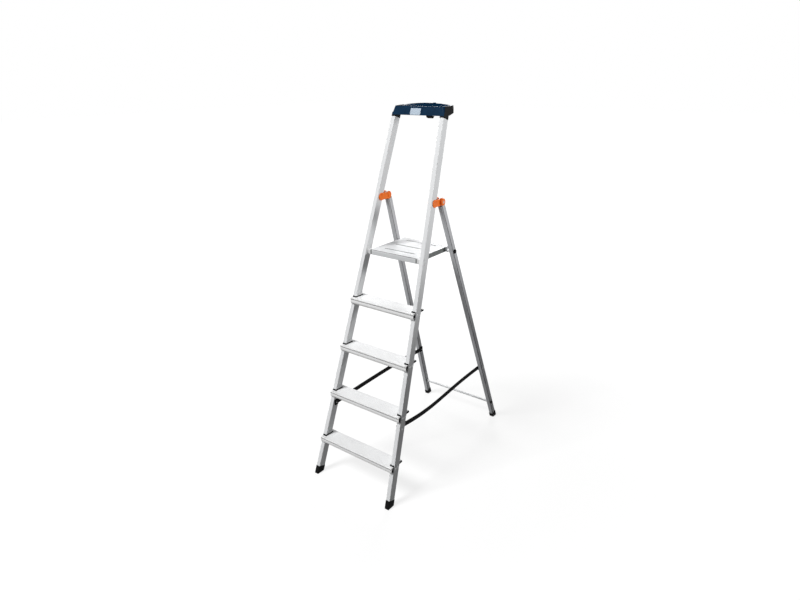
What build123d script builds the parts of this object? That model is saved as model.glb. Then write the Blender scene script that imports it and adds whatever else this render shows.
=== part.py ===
from build123d import *
from math import atan, cos, degrees, hypot, radians, sin, tan
import os

# Aluminium step ladder that folds flat: four treads, a platform, a top tray, a rear frame on two hinges.
# Millimetres and degrees. +X is to the right of someone facing the treads, +Y goes to the back, +Z up.
# The origin lies on the floor in the middle of the footprint.

# Front stiles
front_lean = 18.15              # backwards from upright
front_foot_half_width = 225.5   # outer face at the floor
stile_top_half_width = 138.0    # outer face at the stile's upper end
stile_width = 20.0              # across the ladder
stile_depth = 37.0              # square to the stile
stile_wall = 1.6
stile_rounding = 1.2

# Rear legs
rear_lean = 19.7                # forwards from upright
rear_splay = 4.5                # rear feet outside the front ones
leg_width = 19.5
leg_depth = 28.5
leg_wall = 1.6
leg_groove_width = 2.6
leg_groove_depth = 1.0
leg_groove_inset = 3.4          # from the leg's front edge
leg_top_gap = 22.0              # from the hinge axis to the end of the tube
leg_set_back = 8.5              # leg's centre line behind the hinge axis

# Shoes
shoe_wall = 1.3
shoe_sole = 8.0
shoe_height = 37.0
shoe_rounding = 2.4
rear_shoe_wall = 2.0
rear_shoe_sole = 6.0
rear_shoe_height = 26.0
sole_groove = 2.0
sole_groove_pitch = 9.0

# Treads
tread_count = 4
first_tread_height = 187.0
tread_pitch = 217.0
tread_depth = 80.0
tread_nose = 20.0               # in front of the stile
tread_skin = 2.2
tread_lip = 16.0                # radius of the rounded front lip
tread_lip_top = 6.2             # below the tread's top
tread_lip_face = 10.8           # upright part of the lip
tread_bead_height = 4.5
tread_bead_depth = 9.0
tread_flange = 24.0             # height of the rear flange between the stiles
tread_wing_height = 8.0
tread_end_inset = 2.0           # from the stile's outer face
rib_pitch = 5.0
rib_groove = 1.8
rib_height = 0.7

# Tread end caps
cap_wall = 3.0
cap_rise = 4.0                  # above the tread
cap_skirt = 22.0                # below the tread's top
cap_plug = 14.0                 # into the end of the lip
cap_plug_height = 17.0
cap_nub = 3.0

# Hinges
hinge_height = 1281.0
hinge_set_back = 36.5           # hinge axis behind the stile's rear face
hinge_lobe = 18.0               # radius round the pivot
stile_lobe = 17.0               # radius on the stile
stile_lobe_depth = 24.0         # lobe centre behind the stile's front face
hinge_cheek = 4.0
hinge_waist = 31.0
hinge_web = 6.0
hinge_rounding = 1.2
hinge_rivet_lead = 3.0          # in front of the stile lobe's centre
hinge_bump = 3.5
hinge_boss = 16.5               # radius of the round boss outside the pivot
hinge_boss_rise = 9.0
hinge_boss_rounding = 4.5
hinge_pin_radius = 5.0
hinge_pin_head = 9.5
hinge_pin_rise = 2.4
hinge_pin_tip = 6.5             # head outside the boss
hinge_pin_tip_rise = 1.0
head_radius = 13.5              # barrel of the leg head
head_plug = 30.0
neck_inset = 2.0

# Platform
platform_room = 19.5            # from its side covers to the stiles
platform_overhang = 20.0        # deck behind the crossbar's axis
platform_skin = 3.0
platform_edge = 24.0            # height of its front edge and side covers
platform_wall = 2.4
platform_lip = 2.0              # height of its edge over the side covers
cover_width = 6.5               # of a platform side cover
cover_height = 20.0             # of its narrow part
cover_front = 20.0              # length of its full part, round the pivot
platform_ledge = 34.0           # its front edge in front of the stile's rear face
pivot_inset = 9.0               # pivot behind the platform's front edge
pivot_drop = 11.0               # pivot below the platform's top
pivot_radius = 4.0
pivot_boss = 8.0                # bracket behind the pivot
pivot_plate = 4.0               # bracket plate on the stile's inner face
pivot_plate_height = 42.0
platform_corner = 5.0
platform_nose = 6.5             # radius along its front edge
slot_length = 172.0
slot_width = 7.0
slot_shift = -3.5
first_slot = 54.0               # behind the front edge
last_slot = 21.0                # in front of the crossbar's axis
slot_count = 3
port_radius = 4.6               # screw ports under the deck
port_drop = 11.2
cover_ports = 3
hook_lead = 12.5                # hook in front of the crossbar's axis
hook_web = 7.6                  # over its seat
hook_seat_gap = 0.4             # radial, over the crossbar

# Rear crossbar and brace
crossbar_diameter = 16.0
brace_diameter = 12.0
brace_height = 101.0
tube_wall = 1.5
plug_head = 6.0                 # how far an end plug stands out
plug_rim = 2.2                  # how far its head laps over the hole
plug_length = 14.0

# Top tray
tray_back_top = 1674.0
tray_front_drop = 3.0           # front wall lower than the back
tray_height = 40.5
tray_floor_drop = 22.0          # basin's floor below the back's top
tray_depth = 73.0               # at the top
tray_end_lean = 6.0             # each end leans in by this over the tray's height
tray_undercut = 40.0            # slanted part of the back's underside
tray_undercut_rise = 9.0
tray_back_lean = 7.0             # of the back wall, down to the slanted part
tray_wall = 3.0
tray_front_corner = 14.0         # radius at the top
tray_low_corner = 2.5            # radius at the bottom
tray_back_corner = 3.5
tray_rim_rise = 8.0             # arched rim on the back
tray_rim_inset = 16.0           # from the tray's ends
tray_knob_width = 13.0
tray_knob_rise = 2.4
tray_knob_shift = 35.0
tray_shelf = 17.0               # hollow shelf along the back, with the tool holes
tool_hole = 4.5
tool_hole_pitch = 30.0
tool_hole_count = 5
tray_leg_proud = 0.5            # legs proud of the stiles
tray_leg = 6.0                  # from the tray's bottom to the stile's end
tray_plug = 32.0                # into the stile
tray_rivet_drop = 14.0          # below the stile's end
plate_width = 54.0
plate_height = 28.0
plate_thickness = 1.4
plate_rounding = 2.0
plate_recess = 1.0
plate_shift = -12.0
plate_drop = 4.0                # below the middle of the front wall
hook_width = 42.0
hook_taper = 9.0                # narrower at the bottom, on each side
hook_shift = 61.0
hook_bar = 3.6
hook_gap = 9.0
hook_drop = 6.5

# Straps
strap_width = 24.0
strap_thickness = 1.6
strap_drop = 61.0               # front clip below the second tread's top
strap_rear_height = 344.0
strap_sag = 10.0
strap_gap = 1.4                 # from the narrowest inner face
strap_end = 11.0                # strap beyond its rivet
clip_size = 20.0
clip_wall = 1.4

# Rivets and clearances
rivet_radius = 2.4
rivet_head = 4.6
rivet_head_height = 1.6
screw_head = 3.8
running_gap = 0.05              # radial, round a pin
fit_gap = 0.05                  # radial, round a fixed rivet or tube
side_gap = 0.4                  # between pieces that turn past each other
cut = 400.0                     # longer than any piece that is trimmed

lean = radians(front_lean)
fold = radians(rear_lean)
rear_foot_half_width = front_foot_half_width + rear_splay
tray_front_top = tray_back_top - tray_front_drop
tray_bottom = tray_back_top - tray_height
tray_floor = tray_back_top - tray_floor_drop

# Hinge axis, seen from the front face of the stiles: stations run up the slope, depths run square to it.
hinge_depth = stile_depth + hinge_set_back
hinge_reach = hinge_depth / cos(lean) + hinge_height * tan(lean)
hinge_to_foot = hinge_height * tan(fold) + leg_set_back / cos(fold)
front_end = shoe_wall / cos(lean)
rear_end = hinge_reach + hinge_to_foot + (leg_depth / 2 + rear_shoe_wall) / cos(fold)
front_foot_y = (front_end - rear_end) / 2
hinge_y = front_foot_y + hinge_reach
rear_foot_y = hinge_y + hinge_to_foot
hinge_station = hinge_height * cos(lean) + (hinge_y - front_foot_y) * sin(lean)

front_plane = Plane(origin=(0, front_foot_y, 0), x_dir=(1, 0, 0), z_dir=(0, -cos(lean), sin(lean)))
rear_plane = Plane(origin=(0, rear_foot_y, 0), x_dir=(1, 0, 0), z_dir=(0, -cos(fold), -sin(fold)))
side_plane = Plane.YZ
# side views in which the first coordinate runs square to the stiles or legs, and the second up them
stile_side = Plane(origin=(0, front_foot_y, 0), x_dir=(0, cos(lean), -sin(lean)), z_dir=(1, 0, 0))
leg_side = Plane(origin=(0, rear_foot_y, 0), x_dir=(0, cos(fold), sin(fold)), z_dir=(1, 0, 0))


def stile_station(height, depth=0.0):
    """Station of the point at a height and a depth behind the stiles' front faces."""
    return (height + depth * sin(lean)) / cos(lean)


stile_top = stile_station(tray_bottom - tray_leg)
stile_taper = (front_foot_half_width - stile_top_half_width) / stile_top


def stile_outer(station):
    """Half width over the stiles' outer faces."""
    return front_foot_half_width - stile_taper * station


def front_y(height, depth=0.0):
    """Y at a height, on a plane a depth behind the stiles' front faces."""
    return front_foot_y + height * tan(lean) + depth / cos(lean)


hinge_half = stile_outer(hinge_station)
leg_length = hinge_height / cos(fold) + leg_set_back * tan(fold)
leg_taper = (rear_foot_half_width - hinge_half) / leg_length


def leg_outer(station):
    """Half width over the rear legs' outer faces, with stations from the floor up the leg."""
    return rear_foot_half_width - leg_taper * station


def leg_y(height):
    """Y of the rear legs' centre line."""
    return rear_foot_y - height * tan(fold)


def slab(plane, sketch, low, high):
    """A flat sketch of this plane, extruded from low to high along its normal."""
    return extrude(plane.offset(low) * sketch, amount=high - low, dir=plane.z_dir)


def rect(x0, x1, y0, y1):
    """A rectangle between two corners."""
    return Pos((x0 + x1) / 2, (y0 + y1) / 2) * Rectangle(x1 - x0, y1 - y0)


def block(x0, x1, y0, y1, z0, z1):
    """A box between two corners."""
    return Pos((x0 + x1) / 2, (y0 + y1) / 2, (z0 + z1) / 2) * Box(x1 - x0, y1 - y0, z1 - z0)


def across(x0, x1, y, z, radius):
    """A round bar along X."""
    return slab(side_plane, Pos(y, z) * Circle(radius), x0, x1)


def stile_bar(start, end, inner=0.0, outer=0.0, front=0.0, back=0.0):
    """The right stile's solid outline between two stations, with each side moved out by the amount given."""
    outline = Polygon(
        (stile_outer(start) + outer, start),
        (stile_outer(end) + outer, end),
        (stile_outer(end) - stile_width - inner, end),
        (stile_outer(start) - stile_width - inner, start),
    )
    return slab(front_plane, outline, -stile_depth - back, front)


def leg_bar(start, end, inner=0.0, outer=0.0, front=0.0, back=0.0):
    """The right rear leg's solid outline between two stations, like stile_bar."""
    outline = Polygon(
        (leg_outer(start) + outer, start),
        (leg_outer(end) + outer, end),
        (leg_outer(end) - leg_width - inner, end),
        (leg_outer(start) - leg_width - inner, start),
    )
    return slab(rear_plane, outline, -leg_depth / 2 - back, leg_depth / 2 + front)


def stile_face(station, depth):
    """A location on the right stile's outer face, with its Z axis pointing out."""
    tilt = degrees(atan(stile_taper))
    return front_plane * Pos(stile_outer(station), station, -depth) * Rot(0, 90, 0) * Rot(-tilt, 0, 0)


def leg_face(station):
    """A location on the centre line of the right leg's outer face, with its Z axis pointing out."""
    tilt = degrees(atan(leg_taper))
    return rear_plane * Pos(leg_outer(station), station, 0) * Rot(0, 90, 0) * Rot(-tilt, 0, 0)


def rivet(length):
    """A domed rivet: its head stands on z = 0 and its shank goes down."""
    shank = Pos(0, 0, -length / 2) * Cylinder(rivet_radius, length)
    top = Pos(0, 0, rivet_head_height / 2) * Cylinder(rivet_head, rivet_head_height)
    return fillet(top.edges().group_by(Axis.Z)[-1], rivet_head_height * 0.6) + shank


def rivet_hole():
    """A drill for a rivet, longer than any plate it goes through."""
    return Cylinder(rivet_radius + fit_gap, stile_width * 3)


def long_edges(piece):
    """The edges that run up a sloping bar."""
    return piece.edges().filter_by(lambda edge: abs((edge % 0.5).Z) > 0.8)


def cross_edges(piece):
    """The edges that run across the ladder."""
    return piece.edges().filter_by(lambda edge: abs((edge % 0.5).X) > 0.9)


def left_of(piece):
    """The left-hand twin of a right-hand piece."""
    return mirror(piece, about=Plane.YZ)


def group(pieces):
    """Several separate solids in one node."""
    return Compound(children=[solid for piece in pieces for solid in piece.solids()])


def save(name, piece):
    """Write one node, as a solid or as a group of separate solids."""
    solids = piece.solids()
    shape = solids[0] if len(solids) == 1 else Compound(children=list(solids))
    export_step(shape, "parts/" + name + ".step")


def save_pair(name, piece):
    """Write a right-hand node and its left-hand twin."""
    save(name + "_right", piece)
    save(name + "_left", left_of(piece))


os.makedirs("parts", exist_ok=True)


# ---------------------------------------------------------------- treads

tread_tops = [first_tread_height + tread_pitch * number for number in range(tread_count)]
tread_back = tread_depth - tread_nose
lip_front = tread_skin / 4 - tread_nose
lip_centre = Pos(lip_front + tread_lip, -tread_lip_top - tread_lip_face)


def tread_plane(top):
    """Side view from the stile's front face at a tread's top: y to the back, z up."""
    return Plane(origin=(0, front_y(top), top), x_dir=(0, 1, 0), z_dir=(1, 0, 0))


def tread_end(top):
    """Half length of a tread."""
    return stile_outer(stile_station(top)) - tread_end_inset


def tread_section():
    """Side view of a tread extrusion: skin, nose bead, rounded lip, rear flange and the ribs on top."""
    front = -tread_nose
    bead_back = front + tread_bead_depth
    shelf = -tread_lip_top - tread_skin
    bead = rect(front, bead_back, -tread_bead_height, 0)
    bead = fillet(bead.vertices().group_by(Axis.X)[0], tread_bead_height * 0.45)
    neck = rect(bead_back - 2 * tread_skin, bead_back, shelf, 0)
    seat = rect(lip_front, bead_back, shelf, -tread_lip_top)
    face = rect(lip_front, lip_front + tread_skin, -tread_lip_top - tread_lip_face, -tread_lip_top)
    curl = (Circle(tread_lip) - Circle(tread_lip - tread_skin)) & rect(-tread_lip, 0, -tread_lip, 0)
    skin = rect(bead_back - tread_skin, tread_back, -tread_skin, 0)
    back = rect(tread_back - tread_skin, tread_back, -tread_flange, 0)
    foot = rect(tread_back - 5 * tread_skin, tread_back, -tread_flange, tread_skin - tread_flange)
    section = skin + bead + neck + seat + face + lip_centre * curl + back + foot
    for number in range(int((tread_depth - 2 * tread_bead_depth) / rib_pitch)):
        y = bead_back + (number + 0.5) * rib_pitch
        section -= rect(y - rib_groove / 2, y + rib_groove / 2, -rib_height, rib_height)
    return section


def cap_zone(top, rise, skirt, outer):
    """The space round the stile that an end cap's collar takes, or that the tread leaves for it."""
    zone = stile_bar(
        stile_station(top - 2 * skirt),
        stile_station(top + 2 * skirt, stile_depth),
        inner=cap_wall,
        outer=outer,
        front=cap_wall,
        back=cap_wall,
    )
    return zone & block(0, cut, -2 * cut, 2 * cut, top - skirt, top + rise)


def tread(top):
    """A tread extrusion with its corners notched round both stiles and thin wings behind them."""
    here = tread_plane(top)
    end = tread_end(top)
    inner = end + tread_end_inset - stile_width - cap_wall
    wing = rect(tread_back / 2, tread_back + 1, -cut, -tread_wing_height)
    tip = rect(tread_back / 2, tread_back + 1, -cut, cut)
    corner = cap_zone(top, cut, cut, cut)
    corner += slab(here, wing, inner, cut)
    corner += slab(here, tip, end - cap_nub, cut)
    return slab(here, tread_section(), -end, end) - corner - left_of(corner)


def tread_cap(top):
    """Black end cap: a collar round three sides of the stile, a plug in the lip, a nub on the rear wing."""
    here = tread_plane(top)
    end = tread_end(top)
    bead_back = -tread_nose + tread_bead_depth
    shelf = -tread_lip_top - tread_skin
    collar = cap_zone(top, cap_rise, cap_skirt, 0) & block(0, end, -2 * cut, 2 * cut, 0, 5 * cut)
    filling = rect(lip_front + tread_skin, bead_back, -cap_plug_height, shelf)
    filling += rect(bead_back, 0, -cap_plug_height, -tread_skin)
    nub = rect(stile_depth, tread_back, -tread_wing_height, 0)
    nub = fillet(nub.vertices().group_by(Axis.X)[-1], tread_wing_height * 0.4)
    cap = collar + slab(here, filling, end - cap_plug, end) + slab(here, nub, end - cap_nub, end)
    cap -= stile_bar(stile_station(top) - cut, stile_station(top) + cut)
    for station, depth in tread_rivets:
        cap -= stile_face(station, depth) * rivet_hole()
    return cap


# ---------------------------------------------------------------- places shared by several pieces

platform_top = first_tread_height + tread_pitch * tread_count
platform_front = front_y(platform_top, stile_depth) - platform_ledge
pivot_y = platform_front + pivot_inset
pivot_z = platform_top - pivot_drop
pivot_depth = (pivot_y - front_foot_y) * cos(lean) - pivot_z * sin(lean)
pivot_station = pivot_z * cos(lean) + (pivot_y - front_foot_y) * sin(lean)

crossbar_height = platform_top - platform_lip - hook_web - hook_seat_gap - crossbar_diameter / 2
crossbar_y = leg_y(crossbar_height)
platform_back = crossbar_y + platform_overhang
cover_back = crossbar_y - hook_lead
platform_half = stile_outer(pivot_station) - stile_width - platform_room
cover_inner = platform_half - cover_width
deck_depth = platform_back - platform_front
deck_plane = Plane(origin=(0, platform_front, platform_top), x_dir=(0, 1, 0), z_dir=(1, 0, 0))

strap_front_height = tread_tops[1] - strap_drop
strap_front = (front_y(strap_front_height, stile_depth / 2), strap_front_height)
strap_rear = (leg_y(strap_rear_height), strap_rear_height)
strap_front_station = stile_station(strap_front_height, stile_depth / 2)
strap_rear_station = strap_rear_height / cos(fold)
strap_front_x = stile_outer(strap_front_station + clip_size / 2) - stile_width - strap_gap
strap_rear_x = leg_outer(strap_rear_station + clip_size / 2) - leg_width - strap_gap
strap_run = hypot(strap_rear_x - strap_front_x, strap_rear[0] - strap_front[0])
strap_turn = (strap_rear[0] - strap_front[0]) / strap_run
# side view along a strap: the first coordinate runs from its front rivet to its rear one
strap_plane = Plane(
    origin=(strap_front_x, strap_front[0], 0),
    x_dir=(strap_rear_x - strap_front_x, strap_rear[0] - strap_front[0], 0),
    z_dir=(strap_turn, (strap_front_x - strap_rear_x) / strap_run, 0),
)

# rivets through the right stile, each a station and a depth
tread_rivets = [
    (stile_station(top - tread_flange / 2, depth), depth)
    for top in tread_tops
    for depth in (stile_depth * 0.3, stile_depth * 0.7)
]
bracket_rivet_step = pivot_plate_height / 4
bracket_rivet_depth = stile_depth * 0.35
bracket_rivets = [
    (pivot_station - bracket_rivet_step, bracket_rivet_depth),
    (pivot_station + bracket_rivet_step, bracket_rivet_depth),
]
hinge_rivet = (hinge_station - hinge_waist / 4, stile_lobe_depth - hinge_rivet_lead)
strap_rivet = (strap_front_station, stile_depth / 2)

tray_rivet_station = stile_top - tray_rivet_drop
tray_rivet_place = front_plane * Rot(180, 0, 0) * Pos(
    stile_outer(tray_rivet_station) - stile_width / 2, -tray_rivet_station, stile_depth
)


# ---------------------------------------------------------------- front frame

def stile():
    """Right stile: one rectangular tube from the shoe to the tray."""
    tube = stile_bar(-cut, stile_top)
    tube = fillet(long_edges(tube), stile_rounding)
    tube -= stile_bar(-cut, stile_top + 1, *[-stile_wall] * 4)
    tube &= block(0, cut, -2 * cut, 2 * cut, shoe_sole, 5 * cut)
    for station, depth in tread_rivets + bracket_rivets + [hinge_rivet, strap_rivet]:
        tube -= stile_face(station, depth) * rivet_hole()
    return tube - tray_rivet_place * rivet_hole()


def stile_rivets(places, length, lift=0.0):
    """Rivets through both stiles, with their heads lifted off the outer faces by a plate's thickness."""
    right = [stile_face(station, depth) * Pos(0, 0, lift) * rivet(length) for station, depth in places]
    return group(right + [left_of(piece) for piece in right])


def tray_leg_bar(start, end, grow):
    """A length of the tray's right leg, round the stile's outline or inside its bore."""
    return stile_bar(start, end, *[grow] * 4)


def sole_grooves(y0, y1):
    """Bars across a right-hand sole, to be cut from it."""
    count = int((y1 - y0) / sole_groove_pitch)
    middle = (y0 + y1) / 2
    bars = []
    for number in range(count):
        y = middle + (number - (count - 1) / 2) * sole_groove_pitch
        bars.append(block(0, cut, y - sole_groove / 2, y + sole_groove / 2, -1, sole_groove))
    return bars


def front_shoe():
    """Black shoe over the foot of the right stile, with a flat grooved sole."""
    shoe = stile_bar(-cut, stile_station(shoe_height), *[shoe_wall] * 4)
    shoe = fillet(long_edges(shoe), shoe_rounding)
    shoe &= block(0, cut, -2 * cut, 2 * cut, 0, cut)
    shoe -= stile_bar(-cut, cut) & block(0, cut, -2 * cut, 2 * cut, shoe_sole, cut)
    for bar in sole_grooves(front_y(0), front_y(0, stile_depth)):
        shoe -= bar
    return shoe


def hinge_outline():
    """Side view of the hinge bracket: a lobe on the stile, a waist, and a lobe round the pivot."""
    stile_y = front_y(hinge_height, stile_lobe_depth)
    waist = rect(stile_y, hinge_y, hinge_height - hinge_waist / 2, hinge_height + hinge_waist / 2)
    lobes = Pos(hinge_y, hinge_height) * Circle(hinge_lobe) + Pos(stile_y, hinge_height) * Circle(stile_lobe)
    return lobes + waist


def hinge_bracket():
    """Orange bracket: two cheeks on the stile's sides, joined behind it and forked round the leg's head."""
    body = slab(side_plane, hinge_outline(), hinge_inner, hinge_outer)
    body = fillet(body.faces().filter_by(Plane.YZ).edges(), hinge_rounding)
    high = hinge_height + hinge_waist / 2
    bump = Pos(front_y(high, stile_depth), high) * Circle(hinge_bump)
    body += slab(side_plane, bump, hinge_inner + hinge_rounding, hinge_outer - hinge_rounding)
    face = hinge_outer + hinge_boss_rise
    boss = across(hinge_outer - hinge_rounding, face, hinge_y, hinge_height, hinge_boss)
    body += fillet(boss.edges().sort_by(Axis.X)[-1], hinge_boss_rounding)
    fork = rect(
        hinge_half - stile_width - side_gap,
        hinge_half + side_gap,
        hinge_station - cut,
        hinge_station + cut,
    )
    body -= slab(front_plane, fork, -cut, -stile_depth - hinge_web)
    body -= stile_bar(hinge_station - cut, hinge_station + cut)
    body -= across(0, cut, hinge_y, hinge_height, hinge_pin_radius + fit_gap)
    seat = stile_face(*hinge_rivet) * Pos(0, 0, hinge_cheek / 2)
    body -= seat * Pos(0, 0, hinge_cheek) * Cylinder(rivet_head + fit_gap, 2 * hinge_cheek)
    return body - seat * rivet_hole()


hinge_inner = hinge_half - stile_width - side_gap - hinge_cheek
hinge_outer = hinge_half + side_gap + hinge_cheek


def hinge_pin():
    """Pin through the boss, both cheeks and the leg's head, with a round head on each side."""
    inner = hinge_inner - hinge_pin_rise
    face = hinge_outer + hinge_boss_rise
    outer = face + hinge_pin_tip_rise
    head = across(inner, hinge_inner, hinge_y, hinge_height, hinge_pin_head)
    head = fillet(head.edges().sort_by(Axis.X)[0], hinge_pin_rise * 0.7)
    tip = across(face, outer, hinge_y, hinge_height, hinge_pin_tip)
    tip = fillet(tip.edges().sort_by(Axis.X)[-1], hinge_pin_tip_rise * 0.7)
    return across(inner, outer, hinge_y, hinge_height, hinge_pin_radius) + head + tip


def platform_bracket():
    """Bracket on the stile's inner face: a plate, and a block that carries the platform's pivot."""
    plate = stile_bar(
        pivot_station - pivot_plate_height / 2,
        pivot_station + pivot_plate_height / 2,
        inner=pivot_plate,
        outer=-stile_width,
        front=-pivot_plate,
        back=pivot_depth + pivot_boss - stile_depth,
    )
    plate = fillet(cross_edges(plate), pivot_boss * 0.6)
    face = stile_outer(pivot_station) - stile_width
    arm = rect(0, pivot_inset + pivot_boss, -platform_edge, -rib_height)
    arm = fillet(arm.vertices(), platform_wall)
    body = plate + slab(deck_plane, arm, platform_half + side_gap, face - pivot_plate / 2)
    body -= across(0, cut, pivot_y, pivot_z, pivot_radius + fit_gap)
    for place in bracket_rivets:
        body -= stile_face(*place) * rivet_hole()
    return body


def platform_pin():
    """Pin from the bracket into the platform's side cover."""
    face = stile_outer(pivot_station) - stile_width
    return across(cover_inner + side_gap, face - pivot_plate / 4, pivot_y, pivot_z, pivot_radius)


def strap():
    """Webbing strap from the right stile to the right leg, hanging slightly slack."""
    slope = (strap_rear[1] - strap_front[1]) / strap_run
    half = strap_width / 2
    start = (-strap_end, strap_front[1] - slope * strap_end)
    finish = (strap_run + strap_end, strap_rear[1] + slope * strap_end)
    middle = (strap_run / 2, (strap_front[1] + strap_rear[1]) / 2 - strap_sag)
    edges = []
    for side in (half, -half):
        edges.append(ThreePointArc(*[(along, z + side) for along, z in (start, middle, finish)]))
    for along, z in (start, finish):
        edges.append(Line((along, z + half), (along, z - half)))
    band = slab(strap_plane, make_face(edges), -strap_thickness, 0)
    return band - stile_face(*strap_rivet) * rivet_hole() - leg_face(strap_rear_station) * rivet_hole()


def strap_clip(along, height, bar, hole):
    """Black clip that holds one end of a strap against the inner face of a stile or a leg."""
    outline = Pos(along, height) * RectangleRounded(clip_size, strap_width + 3 * clip_wall, 2 * clip_wall)
    clip = slab(strap_plane, outline, -strap_thickness - clip_wall, stile_width / 2)
    return clip - bar - strap() - hole


# ---------------------------------------------------------------- top tray

tray_front_gap = tray_leg_proud / cos(lean)
tray_back = front_y(tray_front_top) - tray_front_gap + tray_depth
tray_under = tray_floor - tray_wall
tray_rim_half = tray_leg_proud - tray_rim_inset + stile_outer(stile_station(tray_back_top))
upright_plane = Plane(origin=(0, 0, 0), x_dir=(1, 0, 0), z_dir=(0, -1, 0))


def tray_side(wall):
    """Side view of the tray, with a sloping front and a slanted underside at the back, or of its inside."""
    drop = 4 * wall
    return Polygon(
        (front_y(tray_bottom - drop, wall) - tray_front_gap, tray_bottom - drop),
        (tray_back - tray_undercut, tray_bottom - drop),
        (tray_back - tray_back_lean - wall, tray_bottom + tray_undercut_rise - drop),
        (tray_back - wall, tray_back_top - wall),
        (front_y(tray_front_top - wall, wall) - tray_front_gap, tray_front_top - wall),
    )


def tray_half(height):
    """Half width of the tray at a height."""
    low = stile_outer(stile_station(tray_bottom)) + tray_leg_proud
    return low - tray_end_lean * (height - tray_bottom) / tray_height


def tray_plan(height):
    """Outline of the tray in plan at a height: narrower, deeper and rounder at the front further up."""
    up = (height - tray_bottom) / (tray_back_top - tray_bottom)
    half = tray_half(height)
    plan = Pos(0, 0, height) * rect(-half, half, front_y(height) - tray_front_gap, tray_back)
    corners = plan.vertices().sort_by(Axis.Y)
    plan = fillet(corners[:2], tray_low_corner + (tray_front_corner - tray_low_corner) * up)
    return fillet(plan.vertices().sort_by(Axis.Y)[-2:], tray_back_corner)


def tray_basin(floor, grow, top):
    """The basin's space, or with its walls and floor added."""
    front = tray_wall - grow
    back = tray_back - tray_shelf + grow
    half = tray_half(tray_back_top) - tray_wall + grow
    outline = Polygon(
        (front_y(floor, front) - tray_front_gap, floor),
        (back, floor),
        (back, top),
        (front_y(top, front) - tray_front_gap, top),
    )
    return slab(side_plane, outline, -half, half)


def tray_rim():
    """Front view of the arched rim on the tray's back, with a small knob."""
    arch = ThreePointArc((-tray_rim_half, 0), (0, tray_rim_rise), (tray_rim_half, 0))
    arch = make_face([arch, Line((tray_rim_half, 0), (-tray_rim_half, 0))])
    base = rect(-tray_rim_half, tray_rim_half, -tray_wall, 0)
    top = tray_rim_rise * (1 - (tray_knob_shift / tray_rim_half) ** 2) + tray_knob_rise
    half = tray_knob_width / 2
    knob = rect(tray_knob_shift - half, tray_knob_shift + half, 0, top)
    knob = fillet(knob.vertices().group_by(Axis.Y)[-1], tray_knob_rise)
    return Pos(0, tray_back_top) * (arch + base + knob)


def top_tray():
    """Blue tray with a basin, a hollow shelf with tool holes, an arched rim and a leg in each stile."""
    body = loft([tray_plan(tray_bottom), tray_plan(tray_back_top)], ruled=True)
    body &= slab(side_plane, tray_side(0), -cut, cut)
    rise = tray_back_top + tray_rim_rise
    basin = tray_basin(tray_floor, 0, rise)
    corners = long_edges(basin).sort_by(Axis.Y)
    basin = fillet(corners[:2], tray_front_corner - tray_wall)
    basin = fillet(long_edges(basin).sort_by(Axis.Y)[-2:], tray_back_corner)
    body -= basin
    reach = stile_outer(stile_station(tray_under)) - stile_width - tray_leg_proud - tray_wall
    hollow = slab(side_plane, tray_side(tray_wall), -reach, reach)
    body -= hollow - tray_basin(tray_under, tray_wall, rise)
    body += slab(upright_plane, tray_rim(), -tray_back, tray_wall - tray_back)
    for number in range(tool_hole_count):
        x = (number - (tool_hole_count - 1) / 2) * tool_hole_pitch
        y = tray_back - tray_shelf / 2
        body -= Pos(x, y, tray_back_top) * Cylinder(tool_hole, 4 * tray_wall)
    leg = tray_leg_bar(stile_top, stile_station(tray_bottom, stile_depth), tray_leg_proud)
    leg = fillet(long_edges(leg), stile_rounding)
    plug = tray_leg_bar(stile_top - tray_plug, stile_top + 1, -stile_wall)
    leg = leg + plug - tray_rivet_place * rivet_hole()
    body += leg + left_of(leg)
    return body - slab(front_plane, plate_outline(), tray_leg_proud - plate_recess, cut)


def plate_outline():
    """The blank plate's outline on the tray's front."""
    middle = stile_station((tray_front_top + tray_bottom) / 2 - plate_drop)
    return Pos(plate_shift, middle) * RectangleRounded(plate_width, plate_height, plate_rounding)


def tray_plate():
    """Blank pale plate in a shallow recess on the tray's front."""
    low = tray_leg_proud - plate_recess
    return slab(front_plane, plate_outline(), low, low + plate_thickness)


def bucket_hook():
    """Black hook under the tray's front edge: a stem behind the front wall, a seat and an upturned tip."""
    near = tray_wall - tray_leg_proud
    low = stile_station(tray_bottom - hook_drop)
    high = stile_station(tray_under, near + hook_bar)
    far = near + hook_bar + hook_gap
    stem = rect(near, near + hook_bar, low, high)
    seat = rect(near, far + hook_bar, low, low + hook_bar)
    tip = rect(far, far + hook_bar, low, low + hook_bar + hook_gap * 0.7)
    profile = stem + seat + tip
    profile = fillet(profile.vertices().group_by(Axis.Y)[0], hook_bar * 0.8)
    half = hook_width / 2
    front = Polygon(
        (hook_shift - half + hook_taper, low),
        (hook_shift + half - hook_taper, low),
        (hook_shift + half, low + 2 * hook_gap),
        (hook_shift + half, high),
        (hook_shift - half, high),
        (hook_shift - half, low + 2 * hook_gap),
    )
    hook = slab(stile_side, profile, hook_shift - half, hook_shift + half)
    hook &= slab(front_plane, front, -cut, cut)
    return hook & block(0, cut, -2 * cut, 2 * cut, 0, tray_under)


# ---------------------------------------------------------------- rear frame

crossbar_station = crossbar_height / cos(fold)
brace_station = brace_height / cos(fold)
leg_top = leg_length - leg_top_gap


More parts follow.
